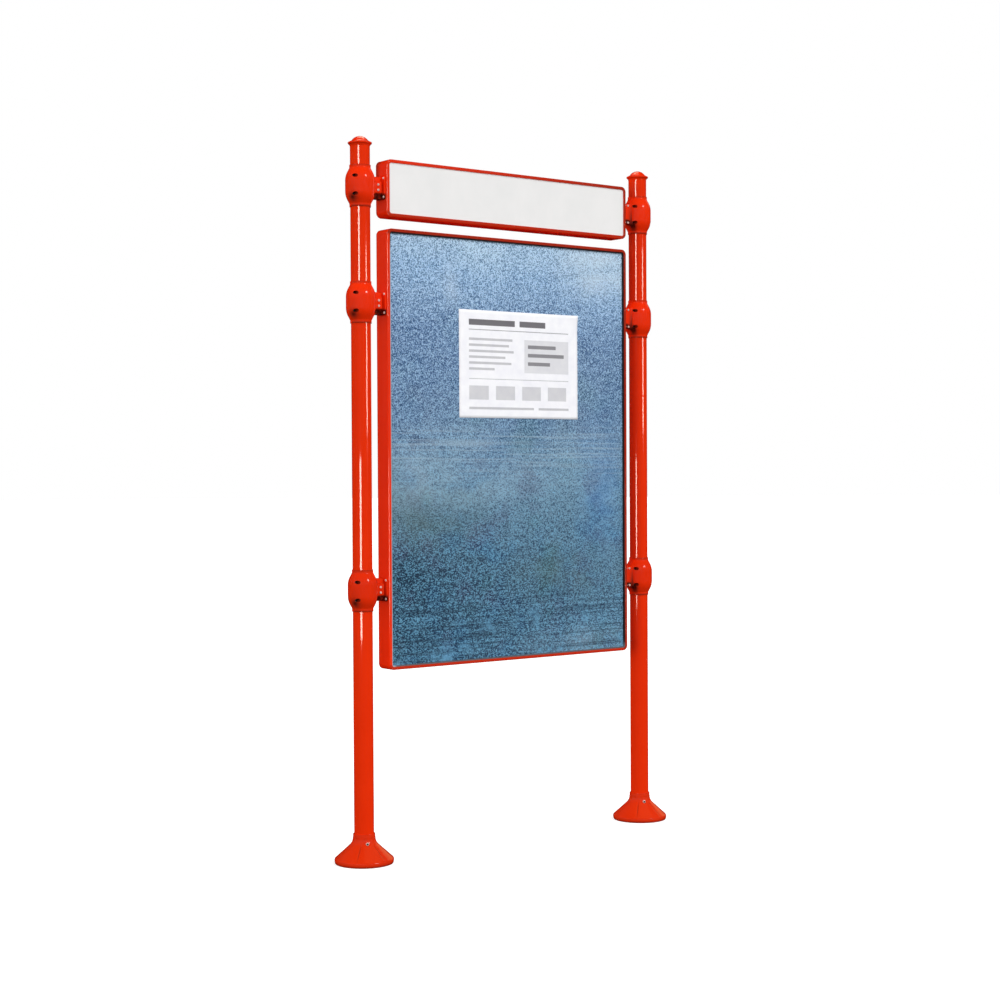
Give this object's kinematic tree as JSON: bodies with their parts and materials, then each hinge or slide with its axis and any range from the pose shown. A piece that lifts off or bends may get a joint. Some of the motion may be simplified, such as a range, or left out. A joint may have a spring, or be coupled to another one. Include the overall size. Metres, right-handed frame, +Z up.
{
  "type": "outdoor notice board",
  "caption": "Outdoor notice board: a shallow tray with a sheet steel display face and a slim header tray, clamped between round posts with domed caps and sliding foot skirts.",
  "frame": {"origin": "on the ground midway between the posts, the bottom centre of the bounding box", "axes": "+X along the board to the reader's right, +Y away from the reader, +Z up"},
  "size_m": [1.644, 0.228, 2.7805],
  "materials": {
    "post_red": "gloss powder coat on steel tube",
    "cast_red": "gloss powder coat on cast aluminium",
    "tray_red": "gloss powder coat on folded sheet steel",
    "header_white": "satin white enamel",
    "galvanised_sheet": "galvanised spangle, reflecting the sky",
    "notice_paper": "matt coated paper",
    "plated_steel": "zinc plated"
  },
  "bodies": {
    "board": {"board_back_panel": "tray_red", "board_bottom_rail": "tray_red", "board_left_rail": "tray_red", "board_right_rail": "tray_red", "board_top_rail": "tray_red", "display_sheet": "galvanised_sheet", "header_back_panel": "tray_red", "header_bottom_rail": "tray_red", "header_left_rail": "tray_red", "header_plate": "header_white", "header_right_rail": "tray_red", "header_top_rail": "tray_red", "left_base_plate": "plated_steel", "left_board_stiffener": "plated_steel", "left_header_backing_plate": "plated_steel", "left_header_bracket": "tray_red", "left_header_clamp_front": "cast_red", "left_header_clamp_rear": "cast_red", "left_header_stiffener": "plated_steel", "left_lower_backing_plate": "plated_steel", "left_lower_bracket": "tray_red", "left_lower_clamp_front": "cast_red", "left_lower_clamp_rear": "cast_red", "left_post": "post_red", "left_post_cap": "cast_red", "left_upper_backing_plate": "plated_steel", "left_upper_bracket": "tray_red", "left_upper_clamp_front": "cast_red", "left_upper_clamp_rear": "cast_red", "notice_sheet": "notice_paper", "right_base_plate": "plated_steel", "right_board_stiffener": "plated_steel", "right_header_backing_plate": "plated_steel", "right_header_bracket": "tray_red", "right_header_clamp_front": "cast_red", "right_header_clamp_rear": "cast_red", "right_header_stiffener": "plated_steel", "right_lower_backing_plate": "plated_steel", "right_lower_bracket": "tray_red", "right_lower_clamp_front": "cast_red", "right_lower_clamp_rear": "cast_red", "right_post": "post_red", "right_post_cap": "cast_red", "right_upper_backing_plate": "plated_steel", "right_upper_bracket": "tray_red", "right_upper_clamp_front": "cast_red", "right_upper_clamp_rear": "cast_red"},
    "left_skirt": {"left_foot_skirt": "cast_red"},
    "right_skirt": {"right_foot_skirt": "cast_red"}
  },
  "joints": [
    {"name": "left_skirt_slide", "type": "slide", "parent": "board", "child": "left_skirt", "axis": [0, 0, 1], "range_m": [0, 0.69]},
    {"name": "right_skirt_slide", "type": "slide", "parent": "board", "child": "right_skirt", "axis": [0, 0, 1], "range_m": [0, 0.69]}
  ]
}
